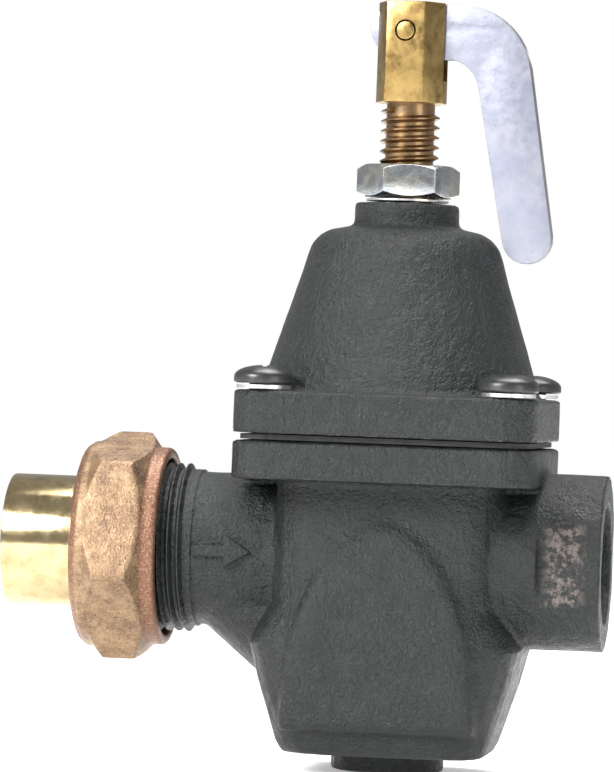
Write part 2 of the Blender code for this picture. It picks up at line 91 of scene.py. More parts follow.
class Finish:
    """One material, with helpers that add noise, ramps and bump to its shader."""

    def __init__(self, name, metallic):
        self.made = bpy.data.materials.new(name)
        self.made.use_nodes = True
        self.nodes = self.made.node_tree.nodes
        self.links = self.made.node_tree.links
        self.shader = self.nodes["Principled BSDF"]
        self.shader.inputs["Metallic"].default_value = metallic
        place = self.nodes.new("ShaderNodeTexCoord")
        self.grid = self.nodes.new("ShaderNodeMapping")
        self.grid.inputs["Scale"].default_value = (1 / MM,) * 3
        self.links.new(place.outputs["Object"], self.grid.inputs["Vector"])

    def noise(self, per_mm, detail=4.0, rough=0.55, stretch=(1, 1, 1)):
        """Noise with this many features in a millimetre, drawn out where stretch is below one."""
        source = self.grid
        if stretch != (1, 1, 1):
            source = self.nodes.new("ShaderNodeMapping")
            source.inputs["Scale"].default_value = stretch
            self.links.new(self.grid.outputs["Vector"], source.inputs["Vector"])
        made = self.nodes.new("ShaderNodeTexNoise")
        made.inputs["Scale"].default_value = per_mm
        made.inputs["Detail"].default_value = detail
        made.inputs["Roughness"].default_value = rough
        self.links.new(source.outputs["Vector"], made.inputs["Vector"])
        return made.outputs["Fac"]

    def edges(self):
        """How convex the surface is: above a half on edges, below it in corners."""
        return self.nodes.new("ShaderNodeNewGeometry").outputs["Pointiness"]

    def ramp(self, value, *stops):
        """A colour ramp from (position, grey or colour) stops."""
        made = self.nodes.new("ShaderNodeValToRGB")
        points = made.color_ramp.elements
        while len(points) < len(stops):
            points.new(1.0)
        for point, (at, colour) in zip(points, stops):
            point.position = at
            point.color = (*colour, 1.0) if isinstance(colour, tuple) else (colour,) * 3 + (1.0,)
        self.links.new(value, made.inputs["Fac"])
        return made.outputs["Color"]

    def maths(self, operation, first, second):
        """A Math node on two sockets, or on a socket and a number."""
        made = self.nodes.new("ShaderNodeMath")
        made.operation = operation
        self.links.new(first, made.inputs[0])
        if isinstance(second, (int, float)):
            made.inputs[1].default_value = second
        else:
            self.links.new(second, made.inputs[1])
        return made.outputs["Value"]

    def blend(self, amount, low, high):
        """Low where the amount is 0, high where it is 1; either may be a colour or a socket."""
        made = self.nodes.new("ShaderNodeMix")
        made.data_type = "RGBA"
        factor = next(s for s in made.inputs if s.name == "Factor" and s.type == "VALUE")
        a = next(s for s in made.inputs if s.name == "A" and s.type == "RGBA")
        b = next(s for s in made.inputs if s.name == "B" and s.type == "RGBA")
        for socket, value in ((factor, amount), (a, low), (b, high)):
            if isinstance(value, bpy.types.NodeSocket):
                self.links.new(value, socket)
            elif isinstance(value, tuple):
                socket.default_value = (*value, 1.0)
            else:
                socket.default_value = value
        return next(s for s in made.outputs if s.type == "RGBA")

    def colour(self, socket):
        self.links.new(socket, self.shader.inputs["Base Color"])

    def roughness(self, value, low, high):
        """Roughness that runs from low to high over the part of 0 to 1 that noise mostly fills."""
        made = self.nodes.new("ShaderNodeMapRange")
        made.inputs["From Min"].default_value = NOISE_LOW
        made.inputs["From Max"].default_value = NOISE_HIGH
        made.inputs["To Min"].default_value = low
        made.inputs["To Max"].default_value = high
        self.links.new(value, made.inputs["Value"])
        self.links.new(made.outputs["Result"], self.shader.inputs["Roughness"])

    def bump(self, *heights):
        """Stacks (value, depth in mm) bumps, coarse first."""
        below = None
        for value, depth in heights:
            made = self.nodes.new("ShaderNodeBump")
            made.inputs["Strength"].default_value = 1.0
            made.inputs["Distance"].default_value = depth * MM
            self.links.new(value, made.inputs["Height"])
            if below is not None:
                self.links.new(below, made.inputs["Normal"])
            below = made.outputs["Normal"]
        self.links.new(below, self.shader.inputs["Normal"])


# %% [markdown]
# ### Black painted iron
#
# Foundry paint over a sand casting is not flat black. It is a green-grey charcoal with darker hollows, a
# satin sheen that comes and goes, a fine pebbled grain, and bright chips where edges have been knocked.
# Pointiness finds the edges, and noise breaks the wear up so that it is not a drawn line. The wrench
# flat on the outlet hub has lost paint too, so one of the finishes has a worn patch between two corners.


# %% Black painted iron
CHIPS = (0.535, 0.60)
NO_CHIPS = (0.9, 1.0)


def front_patch(finish, low, high):
    """A mask that is 1 between low and high in X and Z, on faces in front of high's Y, and fades out."""
    split = finish.nodes.new("ShaderNodeSeparateXYZ")
    finish.links.new(finish.grid.outputs["Vector"], split.inputs["Vector"])
    ramps = []
    for axis, lower, upper in (("X", low[0], high[0]), ("Z", low[2], high[2])):
        for limit, way in ((lower, 1), (upper, -1)):
            away = finish.maths("SUBTRACT", split.outputs[axis], limit)
            away = finish.maths("MULTIPLY", away, 0.5 * way)
            ramps.append(finish.ramp(away, (0.0, 0.0), (1.0, 1.0)))
    front = finish.maths("SUBTRACT", split.outputs["Y"], high[1])
    ramps.append(finish.ramp(finish.maths("MULTIPLY", front, -4.0), (0.0, 0.0), (1.0, 1.0)))
    here = ramps[0]
    for each in ramps[1:]:
        here = finish.maths("MULTIPLY", here, each)
    return here


def painted_iron(name, bare_flat=None, chips=CHIPS):
    """Foundry paint; chips says how convex an edge must be to start and to finish chipping."""
    iron = Finish(name, 0.0)
    cloudy = iron.noise(0.16, 6.0, 0.62)
    grain = iron.noise(2.6, 3.0, 0.6)
    speck = iron.noise(4.0, 2.0, 0.5)
    lumps = iron.noise(1.1, 2.0, 0.5)
    iron.shader.inputs["Specular IOR Level"].default_value = 0.44
    paint = iron.ramp(cloudy, (0.3, (0.002, 0.0036, 0.0032)), (0.55, (0.0042, 0.0066, 0.0059)),
                      (0.75, (0.0105, 0.0145, 0.0132)))
    dust = iron.ramp(speck, (0.56, 0.0), (0.74, 0.5))
    shade = iron.blend(dust, paint, (0.05, 0.056, 0.053))
    corner = iron.ramp(iron.edges(), (chips[0], 0.0), (chips[1], 1.0))
    chip = iron.maths("MULTIPLY", corner, iron.ramp(iron.noise(0.9, 3.0, 0.7), (0.52, 0.0), (0.6, 0.9)))
    shade = iron.blend(chip, shade, (0.2, 0.2, 0.19))
    if bare_flat is not None:
        rubbed = iron.ramp(iron.noise(0.75, 7.0, 0.75), (0.47, 0.0), (0.56, 0.8))
        worn = iron.maths("MULTIPLY", front_patch(iron, *bare_flat), rubbed)
        shade = iron.blend(worn, shade, (0.16, 0.125, 0.115))
    iron.colour(shade)
    iron.roughness(iron.noise(0.5, 5.0, 0.6), 0.27, 0.55)
    iron.bump((iron.noise(0.35, 3.0), 0.5), (lumps, 0.3), (grain, 0.3), (speck, 0.12))
    return iron.made


body_lo, body_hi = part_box("valve_body")
FLAT_LOW = (24.5, 0.0, -8.5)
FLAT_HIGH = (32.0, -12.3, 8.5)
iron_body = painted_iron("body_paint", (FLAT_LOW, FLAT_HIGH))
iron_bonnet = painted_iron("bonnet_paint")
iron_thread = painted_iron("thread_paint", chips=NO_CHIPS)
print("paint made, body width in mm:", round((body_hi.y - body_lo.y) / MM, 1))

# %% [markdown]
# ### Cast bronze, brass, zinc and the rest
#
# The union nut is sand-cast: pink-brown with pale tan specks and no polish. The specks are partly the
# paler grain of the casting and partly painted highlight where sand grains catch the light. Its two
# round ends are redder than its flats. Brass parts are turned, so their noise is drawn out into tool lines.


# %% Bronze and brass
def cast_bronze(ring_r):
    """Sand-cast bronze, redder on the two turned rings, which lie inside ring_r of the pipe's axis."""
    bronze = Finish("cast_bronze_skin", 0.6)
    mottle = bronze.ramp(bronze.noise(0.3, 5.0, 0.6), (0.32, (0.13, 0.075, 0.045)),
                         (0.52, (0.235, 0.145, 0.082)), (0.72, (0.34, 0.23, 0.13)))
    split = bronze.nodes.new("ShaderNodeSeparateXYZ")
    bronze.links.new(bronze.grid.outputs["Vector"], split.inputs["Vector"])
    square = bronze.maths("ADD", bronze.maths("POWER", split.outputs["Y"], 2),
                          bronze.maths("POWER", split.outputs["Z"], 2))
    inside = bronze.maths("LESS_THAN", square, ring_r ** 2)
    mottle = bronze.blend(bronze.maths("MULTIPLY", inside, 0.75), mottle, (0.16, 0.062, 0.038))
    sand = bronze.noise(3.2, 3.0, 0.65)
    # pale tan specks: the sand grain's paler tone together with a painted highlight where grains catch the
    # light
    shade = bronze.blend(bronze.ramp(sand, (0.5, 0.0), (0.68, 0.5)), mottle, (0.52, 0.39, 0.24))
    pits = bronze.ramp(bronze.noise(2.1, 2.0, 0.5), (0.28, 0.8), (0.42, 0.0))
    shade = bronze.blend(pits, shade, (0.1, 0.045, 0.03))
    worn = bronze.ramp(bronze.edges(), (0.56, 0.0), (0.66, 0.15))
    bronze.colour(bronze.blend(worn, shade, (0.5, 0.35, 0.2)))
    bronze.roughness(bronze.noise(0.8), 0.34, 0.55)
    bronze.bump((bronze.noise(0.4), 0.15), (sand, 0.1))
    return bronze.made


def turned_brass(name, tint=(0.80, 0.58, 0.24), dull=(0.56, 0.37, 0.14), smooth=0.12, rough=0.3,
                 stretch=(6, 1, 1), spots=0.35):
    """Machined brass: fine tool lines across the stretch axis and a few tarnished spots."""
    brass = Finish(name, 1.0)
    lines = brass.noise(1.4, 3.0, 0.6, stretch)
    tarnish = brass.ramp(brass.noise(0.35, 5.0, 0.65), (0.45, 0.0), (0.72, 1.0))
    shade = brass.blend(tarnish, tint, dull)
    dots = brass.ramp(brass.noise(1.5, 2.0, 0.5), (0.62, 0.0), (0.7, spots))
    brass.colour(brass.blend(dots, shade, (0.25, 0.15, 0.06)))
    brass.roughness(brass.noise(0.6, 4.0), smooth, rough)
    brass.bump((lines, 0.012), (brass.noise(2.0), 0.008))
    return brass.made


RED_RING_R = 16.3
bronze_skin = cast_bronze(RED_RING_R)
tail_brass = turned_brass("tail_brass", (0.52, 0.42, 0.24), (0.36, 0.27, 0.13), 0.1, 0.2,
                          (5, 0.3, 0.3), 0.1)
head_brass = turned_brass("head_brass", (0.34, 0.235, 0.088), (0.17, 0.1, 0.036), 0.24, 0.46,
                          (2.5, 2.5, 0.12), 0.85)
thread_brass = turned_brass("thread_brass", (0.3, 0.195, 0.105), (0.16, 0.095, 0.045), 0.25, 0.42,
                            (1, 1, 4), 0.4)
print("bronze and brass made")


# %% [markdown]
# ### Zinc, steel, rubber and fibre
#
# The lever, the lock nut and the washers are zinc plated: a cloudy metal with a blue cast, dull specks
# and rubbed edges. The lever is the darkest of them, and its edge faces get a much darker finish of
# their own: painted shade and painted dark reflection along the plate's edges. The same recipe with
# other colours makes the black screws and the spring steel.
# Rubber and fibre need only two close shades and a grain.


# %% Zinc, steel, rubber and fibre
def plated(name, tint, cloud, smooth, rough, metallic=0.9, specks=0.3,
           rim=(0.85, 0.85, 0.85)):
    """Plated or plain steel, with cloudy sheen, fine scuffs and dull specks."""
    plate = Finish(name, metallic)
    clouds = plate.ramp(plate.noise(0.22, 5.0, 0.6), (0.35, 0.0), (0.7, 1.0))
    shade = plate.blend(clouds, tint, cloud)
    dots = plate.ramp(plate.noise(2.2, 3.0, 0.6), (0.6, 0.0), (0.72, specks))
    shade = plate.blend(dots, shade, (0.2, 0.2, 0.22))
    worn = plate.ramp(plate.edges(), (0.53, 0.0), (0.6, 0.7))
    plate.colour(plate.blend(worn, shade, rim))
    plate.roughness(plate.noise(0.7, 5.0), smooth, rough)
    plate.bump((plate.noise(0.5), 0.03), (plate.noise(3.0, 2.0), 0.012))
    return plate.made


def soft(name, low, high, grain_mm):
    """Rubber or fibre: two close shades in a fine grain."""
    body = Finish(name, 0.0)
    body.colour(body.ramp(body.noise(grain_mm, 4.0), (0.35, low), (0.65, high)))
    body.roughness(body.noise(1.0), 0.6, 0.8)
    body.bump((body.noise(grain_mm * 2), 0.03))
    return body.made


lever_zinc = plated("lever_zinc", (0.33, 0.335, 0.39), (0.26, 0.275, 0.35), 0.3, 0.44, 0.6, 0.4)
# painted shade: a dark finish for the lever's edge faces, standing in for their shade and dark reflections
edge_shade_zinc = plated("painted_edge_shade", (0.1, 0.1, 0.12), (0.06, 0.06, 0.075), 0.45, 0.6, 0.2, 0.3)
nut_zinc = plated("nut_zinc", (0.38, 0.42, 0.48), (0.62, 0.6, 0.52), 0.16, 0.34, 1.0, 0.8, (0.5, 0.42, 0.25))
washer_zinc = plated("washer_zinc", (0.8, 0.81, 0.85), (0.7, 0.71, 0.75), 0.2, 0.35)
screw_black = plated("screw_black", (0.008, 0.009, 0.01), (0.015, 0.016, 0.017), 0.25, 0.42, 0.0, 0.1,
                     (0.1, 0.1, 0.1))
spring_steel = plated("spring_steel", (0.38, 0.38, 0.4), (0.28, 0.28, 0.3), 0.25, 0.42)
black_rubber = soft("black_rubber", (0.012, 0.012, 0.012), (0.026, 0.026, 0.026), 1.2)
red_fibre = soft("red_fibre", (0.26, 0.08, 0.05), (0.4, 0.15, 0.1), 2.0)
print("finishes in all:", len(bpy.data.materials))

# %% [markdown]
# ## Shapes
#
# Three ways of making a piece cover nearly everything here. A casting is remeshed into small even faces
# and smoothed, which rounds each corner like a foundry fillet: the iron ones start from a merged copy of
# their CAD node. A turned part is a profile spun round its axis. A thread is a blunt V spun along a helix.


# %% Keep a piece: name, finish, body and node
def keep(mesh, name, finish, body, nodes, angle=35):
    """Stores a bmesh in millimetres as a finished piece that rides on a body."""
    bmesh.ops.remove_doubles(mesh, verts=mesh.verts, dist=1e-5)
    bmesh.ops.recalc_face_normals(mesh, faces=mesh.faces)
    bmesh.ops.scale(mesh, vec=(MM,) * 3, verts=mesh.verts)
    data = bpy.data.meshes.new(name)
    mesh.to_mesh(data)
    mesh.free()
    data.shade_smooth()
    data.set_sharp_from_angle(angle=radians(angle))
    data.materials.append(finish)
    piece = bpy.data.objects.new(name, data)
    bpy.context.scene.collection.objects.link(piece)
    if body is not None:
        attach(piece, body)
        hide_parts(*nodes)
    print(name, len(data.polygons), "faces")
    return piece


def copied(node):
    """A merged copy of a CAD node's mesh, in millimetres."""
    mesh = bmesh.new()
    mesh.from_mesh(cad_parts[node].data)
    bmesh.ops.scale(mesh, vec=(1 / MM,) * 3, verts=mesh.verts)
    bmesh.ops.remove_doubles(mesh, verts=mesh.verts, dist=0.002)
    return mesh


# %% [markdown]
# A sand casting has no sharp corners. Voxel remeshing gives even small faces, a few smoothing passes round
# every corner by about the same radius, and a faint cloud displacement stops flat faces looking ruled.
# Its middle level is above a half, so the wave cuts in more than it swells and hardly leaves the CAD box.


# %% Castings: remesh, then smooth
SAND_SIZE = 4 * MM
WAVE_MIDDLE = 0.75


def cast_skin(piece, cell, passes, wobble):
    """Rounds a piece's corners like a casting's: even small faces, smoothed, with a slight wave."""
    grid = piece.modifiers.new("grid", "REMESH")
    grid.mode = "VOXEL"
    grid.voxel_size = cell * MM
    grid.use_smooth_shade = True
    fillet = piece.modifiers.new("fillet", "SMOOTH")
    fillet.factor = 0.5
    fillet.iterations = passes
    sand = bpy.data.textures.new(piece.name + "_sand", "CLOUDS")
    sand.noise_scale = SAND_SIZE
    sand.noise_depth = 2
    wave = piece.modifiers.new("wave", "DISPLACE")
    wave.texture = sand
    wave.texture_coords = "LOCAL"
    wave.strength = wobble * MM
    wave.mid_level = WAVE_MIDDLE
    graph = bpy.context.evaluated_depsgraph_get()
    made = bpy.data.meshes.new_from_object(piece.evaluated_get(graph))
    piece.modifiers.clear()
    piece.data = made
    print(piece.name, "skin", len(made.polygons), "faces")
    return piece


# %% [markdown]
# ### The body casting
#
# The copy of the CAD body is cut off square behind the union thread, because remeshing would blur the
# thread; the cut is filled and a crisp thread takes its place later. A raised arrow on the inlet neck
# shows the flow. It is drawn flat, thickened, sunk a little into the neck and kept apart from the
# casting, because smoothing the casting would wear the arrow away.

# %% The body casting
IRON_CAST = {"cell": 0.5, "passes": 5, "wobble": 0.12}
NECK_END_X = -31.8
ARROW = [(-31.0, -0.9), (-25.8, -0.9), (-25.8, -2.7), (-21.4, 0.0), (-25.8, 2.7), (-25.8, 0.9), (-31.0, 0.9)]
ARROW_FRONT = -13.05
ARROW_BACK = -11.0
PAD_BACK_Y = -15.0
PAD_TOP_Z = 9.0


def add_arrow(mesh, outline, front, back):
    """Adds an outline as a plate that faces -Y."""
    corners = [mesh.verts.new((x, front, z)) for x, z in outline]
    face = mesh.faces.new(corners)
    made = bmesh.ops.extrude_face_region(mesh, geom=[face])["geom"]
    moved = [v for v in made if isinstance(v, bmesh.types.BMVert)]
    bmesh.ops.translate(mesh, vec=(0, back - front, 0), verts=moved)


def soften_panel(piece):
    """Melts the arched pad on the front into the casting: extra smoothing there and nowhere else."""
    front = piece.vertex_groups.new(name="front")
    near = [v.index for v in piece.data.vertices if v.co.y < PAD_BACK_Y * MM and v.co.z < PAD_TOP_Z * MM]
    front.add(near, 1.0, "REPLACE")
    melt = piece.modifiers.new("melt", "SMOOTH")
    melt.factor = 0.6
    melt.iterations = 26
    melt.vertex_group = "front"
    graph = bpy.context.evaluated_depsgraph_get()
    made = bpy.data.meshes.new_from_object(piece.evaluated_get(graph))
    piece.modifiers.clear()
    piece.data = made
    print("softened", len(near), "points of the front pad")


body_mesh = copied("valve_body")
everything = body_mesh.verts[:] + body_mesh.edges[:] + body_mesh.faces[:]
bmesh.ops.bisect_plane(body_mesh, geom=everything, plane_co=(NECK_END_X, 0, 0), plane_no=(-1, 0, 0),
                       clear_outer=True)
bmesh.ops.holes_fill(body_mesh, edges=[e for e in body_mesh.edges if e.is_boundary])
bmesh.ops.recalc_face_normals(body_mesh, faces=body_mesh.faces)
body_skin = keep(body_mesh, "body_casting", iron_body, HOUSING, ["valve_body"])
cast_skin(body_skin, **IRON_CAST)
soften_panel(body_skin)
arrow_mesh = bmesh.new()
add_arrow(arrow_mesh, ARROW, ARROW_FRONT, ARROW_BACK)
bmesh.ops.recalc_face_normals(arrow_mesh, faces=arrow_mesh.faces)
bmesh.ops.bevel(arrow_mesh, geom=arrow_mesh.edges[:], offset=0.22, segments=2, profile=0.5, affect="EDGES",
                material=-1)
keep(arrow_mesh, "flow_arrow", iron_thread, HOUSING, ["valve_body"], 50)

# %% [markdown]
# The bonnet has no thread or arrow to protect, so its copy goes straight through the casting steps.

# %% The bonnet casting
bonnet_skin = keep(copied("bonnet"), "bonnet_casting", iron_bonnet, HOUSING, ["bonnet"])
cast_skin(bonnet_skin, **IRON_CAST)

# %% [markdown]
# ### Threads
#
# A thread is a ridge wound round a core. A blunt V with four corners is spun with a small push along the
# axis at every step, which draws a true helix. Its foot is sunk a little into the core, so no gap shows.


# %% Wind a thread on a core
FOOT_SUNK = 0.3


def wind_thread(mesh, radius, depth, pitch, low, high, steps=48):
    """A blunt V ridge of the given outside radius round +Z, from low to high."""
    turns = (high - low - pitch) / pitch
    root, crest = radius - depth, radius
    half = pitch * 0.46
    flat = pitch * 0.07
    z = low + pitch / 2
    points = [mesh.verts.new((r, 0, z + up)) for r, up in
              ((root - FOOT_SUNK, -half), (crest, -flat), (crest, flat), (root - FOOT_SUNK, half))]
    face = mesh.faces.new(points)
    made = bmesh.ops.spin(mesh, geom=[face], cent=(0, 0, 0), axis=(0, 0, 1), dvec=(0, 0, pitch / steps),
                          angle=tau * turns, steps=int(turns * steps))
    print("thread turns:", round(turns, 2), "end faces:", len(made["geom_last"]))


def spun(mesh, profile, steps=96):
    """Spins a closed loop of (radius, height) points round +Z; points on the axis are closed there."""
    points = [mesh.verts.new((r, 0, z)) for r, z in profile]
    loop = [mesh.edges.new(pair) for pair in zip(points, points[1:] + points[:1])]
    bmesh.ops.spin(mesh, geom=points + loop, cent=(0, 0, 0), axis=(0, 0, 1), angle=tau, steps=steps,
                   use_merge=True)
    bmesh.ops.remove_doubles(mesh, verts=mesh.verts, dist=1e-5)
    bmesh.ops.dissolve_degenerate(mesh, edges=mesh.edges, dist=1e-5)


def lie_along_x(mesh):
    bmesh.ops.rotate(mesh, verts=mesh.verts, cent=(0, 0, 0), matrix=Matrix.Rotation(pi / 2, 3, "Y"))


# %% [markdown]
# The body's own thread is wound along +Z, where the helper works, and then laid along +X.

# %% The union thread on the body
PITCH = 1.5875
UNION_R = 13.5
UNION_DEPTH = 0.95
UNION_CORE_R = 12.6
UNION_BORE_R = 7.1
union_thread = bmesh.new()
union_low = body_lo.x / MM
spun(union_thread, [(UNION_BORE_R, union_low), (12.2, union_low), (UNION_CORE_R, union_low + 0.4),
                    (UNION_CORE_R, NECK_END_X + 0.6), (UNION_BORE_R, NECK_END_X + 0.6)])
wind_thread(union_thread, UNION_R, UNION_DEPTH, PITCH, union_low + 0.1, NECK_END_X + 0.5, 72)
lie_along_x(union_thread)
keep(union_thread, "union_thread", iron_thread, HOUSING, ["valve_body"], 30)

# %% [markdown]
# ### The union nut and the tail
#
# The nut's corners are turned down at both ends. So a plain hexagon is intersected with a ring blank
# that has a cone at each end, and then joined to a spun ring with a collar at each end. After that it is
# a casting like the others, with smaller cells and fewer passes, which keeps the flats crisp.

# %% The union nut
nut_lo, nut_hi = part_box("union_nut")
NUT_LOW = nut_lo.x / MM
NUT_HIGH = nut_hi.x / MM
NUT_TURN = radians(14.7)


def with_tool(piece, tool, operation):
    """Adds a Boolean that uses a tool, applies it, and removes the tool."""
    step = piece.modifiers.new(operation, "BOOLEAN")
    step.operation = operation
    step.solver = "EXACT"
    step.object = tool
    graph = bpy.context.evaluated_depsgraph_get()
    made = bpy.data.meshes.new_from_object(piece.evaluated_get(graph))
    piece.modifiers.clear()
    made.shade_smooth()
    made.set_sharp_from_angle(angle=radians(25))
    piece.data = made
    bpy.data.objects.remove(tool)


BRONZE_CAST = {"cell": 0.3, "passes": 2, "wobble": 0.05}
NUT_FLATS = 32.9
NUT_BORE_R = 14.2
TAIL_HOLE_R = 11.2
BLANK_R = 18.8
BLANK_END_R = 16.1
COLLAR_OUT_R = 15.9
blank = bmesh.new()
spun(blank, [(NUT_BORE_R, NUT_LOW + 2.2), (BLANK_END_R, NUT_LOW + 2.2), (BLANK_R, NUT_LOW + 4.6),
             (BLANK_R, NUT_HIGH - 4.4), (BLANK_END_R, NUT_HIGH - 2.4), (NUT_BORE_R, NUT_HIGH - 2.4)])
lie_along_x(blank)
nut_mesh = bmesh.new()
bmesh.ops.create_cone(nut_mesh, cap_ends=True, segments=6, radius1=NUT_FLATS / sqrt(3),
                      radius2=NUT_FLATS / sqrt(3), depth=NUT_HIGH - NUT_LOW)
bmesh.ops.translate(nut_mesh, vec=(0, 0, (NUT_HIGH + NUT_LOW) / 2), verts=nut_mesh.verts)
lie_along_x(nut_mesh)
bmesh.ops.rotate(nut_mesh, verts=nut_mesh.verts, cent=(0, 0, 0), matrix=Matrix.Rotation(NUT_TURN, 3, "X"))
nut_skin = keep(nut_mesh, "union_nut_casting", bronze_skin, "coupling_nut", ["union_nut"])
with_tool(nut_skin, keep(blank, "nut_blank", bronze_skin, None, []), "INTERSECT")
collars = bmesh.new()
spun(collars, [(TAIL_HOLE_R, NUT_LOW), (14.2, NUT_LOW), (15.7, NUT_LOW + 0.5), (16.5, NUT_LOW + 1.6),
               (16.6, NUT_LOW + 2.6), (16.2, NUT_LOW + 3.4), (COLLAR_OUT_R, NUT_HIGH - 3.0),
               (COLLAR_OUT_R, NUT_HIGH - 0.5), (15.5, NUT_HIGH), (NUT_BORE_R, NUT_HIGH),
               (NUT_BORE_R, NUT_LOW + 4.6), (TAIL_HOLE_R, NUT_LOW + 4.6)])
lie_along_x(collars)
with_tool(nut_skin, keep(collars, "nut_collars", bronze_skin, None, []), "UNION")
cast_skin(nut_skin, **BRONZE_CAST)

# %% [markdown]
# The tail is plain turned brass: one profile, spun, with small broken edges that catch the light. It
# carries the collar that the nut pulls on, and a socket that takes the copper tube.

# %% The tail
tail_lo, tail_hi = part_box("tailpiece")
TAIL_LOW = tail_lo.x / MM
TAIL_HIGH = tail_hi.x / MM
TAIL_R = 10.8
SOCKET_R = 7.95
COLLAR_R = 13.4
SOCKET_END = TAIL_LOW + 12.7
COLLAR_LOW = NUT_LOW + 5.0
TAIL_BORE_R = 7.0
tail_mesh = bmesh.new()
spun(tail_mesh, [(SOCKET_R + 0.3, TAIL_LOW), (TAIL_R - 0.35, TAIL_LOW), (TAIL_R - 0.1, TAIL_LOW + 0.12),
                 (TAIL_R, TAIL_LOW + 0.4), (TAIL_R, COLLAR_LOW), (COLLAR_R, COLLAR_LOW),
                 (COLLAR_R, TAIL_HIGH), (TAIL_BORE_R, TAIL_HIGH), (TAIL_BORE_R, SOCKET_END),
                 (SOCKET_R, SOCKET_END), (SOCKET_R, TAIL_LOW + 0.3)], 128)
lie_along_x(tail_mesh)
keep(tail_mesh, "tail_turned", tail_brass, "tail", ["tailpiece"])

# %% [markdown]
# ### The adjusting screw
#
# The screw is a threaded shank with a long hexagon head. The head is a six-sided cone from the toolbox,
# with its side corners planed away, a slot for the lever, and a cross hole for the pin. The hole is a
# touch wider than the pin, so a dark ring shows round the pin's end as on the real head.

# %% The threaded shank
screw_lo, screw_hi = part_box("adjusting_screw")
HEAD_LOW = 72.3
HEAD_HIGH = screw_hi.z / MM
STEM_R = 4.7
STEM_DEPTH = 0.9
STEM_CORE_R = 3.85
THREAD_LOW = 55.0
THREAD_HIGH = 71.9
ROD_BORE_R = 2.3
stem_mesh = bmesh.new()
SHANK_LOW = screw_lo.z / MM
spun(stem_mesh, [(ROD_BORE_R, SHANK_LOW), (3.3, SHANK_LOW), (3.6, SHANK_LOW + 0.3), (STEM_CORE_R, 54.0),
                 (STEM_CORE_R, HEAD_LOW + 0.5), (ROD_BORE_R, HEAD_LOW + 0.5)], 48)
wind_thread(stem_mesh, STEM_R, STEM_DEPTH, PITCH, THREAD_LOW, THREAD_HIGH, 56)
keep(stem_mesh, "screw_shank", thread_brass, "screw", ["adjusting_screw"], 30)

# %% [markdown]
# The head starts as a cone with six segments and equal ends, standing with two flats to the front and
# back. Two planes take its side corners off, a small bevel breaks every edge, and only then is it turned.

# %% The hexagon head
HEAD_FLATS = 10.8
CORNER_OFF = 0.66
HEAD_HALF = HEAD_FLATS / sqrt(3) - CORNER_OFF
SLOT_WIDTH = 2.6
SLOT_FLOOR = 76.0
PIVOT_Z = 83.7
HOLE_R = 1.72
HEAD_TURN = Matrix.Rotation(radians(-7.6), 3, "Z")
head_mesh = bmesh.new()
bmesh.ops.create_cone(head_mesh, cap_ends=True, segments=6, radius1=HEAD_FLATS / sqrt(3),
                      radius2=HEAD_FLATS / sqrt(3), depth=HEAD_HIGH - HEAD_LOW)
bmesh.ops.translate(head_mesh, vec=(0, 0, (HEAD_HIGH + HEAD_LOW) / 2), verts=head_mesh.verts)
bmesh.ops.rotate(head_mesh, verts=head_mesh.verts, cent=(0, 0, 0), matrix=Matrix.Rotation(pi / 6, 3, "Z"))
for side in (-1, 1):
    parts = head_mesh.verts[:] + head_mesh.edges[:] + head_mesh.faces[:]
    bmesh.ops.bisect_plane(head_mesh, geom=parts, plane_co=(side * HEAD_HALF, 0, 0), plane_no=(side, 0, 0),
                           clear_outer=True)
    bmesh.ops.holes_fill(head_mesh, edges=[e for e in head_mesh.edges if e.is_boundary])
bmesh.ops.bevel(head_mesh, geom=head_mesh.edges[:], offset=0.22, segments=2, profile=0.5, affect="EDGES",
                material=-1)
bmesh.ops.rotate(head_mesh, verts=head_mesh.verts, cent=(0, 0, 0), matrix=HEAD_TURN)
head = keep(head_mesh, "screw_head", head_brass, "screw", ["adjusting_screw"], 25)
print("head spans in mm:", [round(v / MM, 2) for v in head.dimensions])


# %% [markdown]
# A slot lets the lever swing, a cross hole takes its pin, and a bore takes the push rod. Each is one
# Boolean with a tool that is removed afterwards.


# %% The slot and the pin hole
def bar(size, middle):
    """A box as a cutter, in millimetres."""
    mesh = bmesh.new()
    bmesh.ops.create_cube(mesh, size=1.0)
    bmesh.ops.scale(mesh, vec=size, verts=mesh.verts)
    bmesh.ops.translate(mesh, vec=middle, verts=mesh.verts)
    return mesh


slot_mesh = bar((20, SLOT_WIDTH, 20), (0, 0, SLOT_FLOOR + 10))
bmesh.ops.rotate(slot_mesh, verts=slot_mesh.verts, cent=(0, 0, 0), matrix=HEAD_TURN)
with_tool(head, keep(slot_mesh, "slot_tool", head_brass, None, []), "DIFFERENCE")


def rod_across(radius, length):
    """A cylinder through the pivot, across the slot."""
    mesh = bmesh.new()
    bmesh.ops.create_cone(mesh, cap_ends=True, segments=48, radius1=radius, radius2=radius, depth=length)
    bmesh.ops.rotate(mesh, verts=mesh.verts, cent=(0, 0, 0), matrix=Matrix.Rotation(pi / 2, 3, "X"))
    bmesh.ops.rotate(mesh, verts=mesh.verts, cent=(0, 0, 0), matrix=HEAD_TURN)
    bmesh.ops.translate(mesh, vec=(0, 0, PIVOT_Z), verts=mesh.verts)
    return mesh


with_tool(head, keep(rod_across(HOLE_R, 20), "hole_tool", head_brass, None, []), "DIFFERENCE")
ROD_BORE_TOP = 80.1
bore_mesh = bmesh.new()
spun(bore_mesh, [(0, HEAD_LOW - 1), (ROD_BORE_R, HEAD_LOW - 1), (ROD_BORE_R, ROD_BORE_TOP),
                 (0, ROD_BORE_TOP)], 48)
with_tool(head, keep(bore_mesh, "bore_tool", head_brass, None, []), "DIFFERENCE")

# %% [markdown]
# The pin runs through the cross hole and stands a hair proud of the head at both ends, with its rims
# rounded. It isn't cut by anything, so a plain cylinder with two beveled rims is enough.

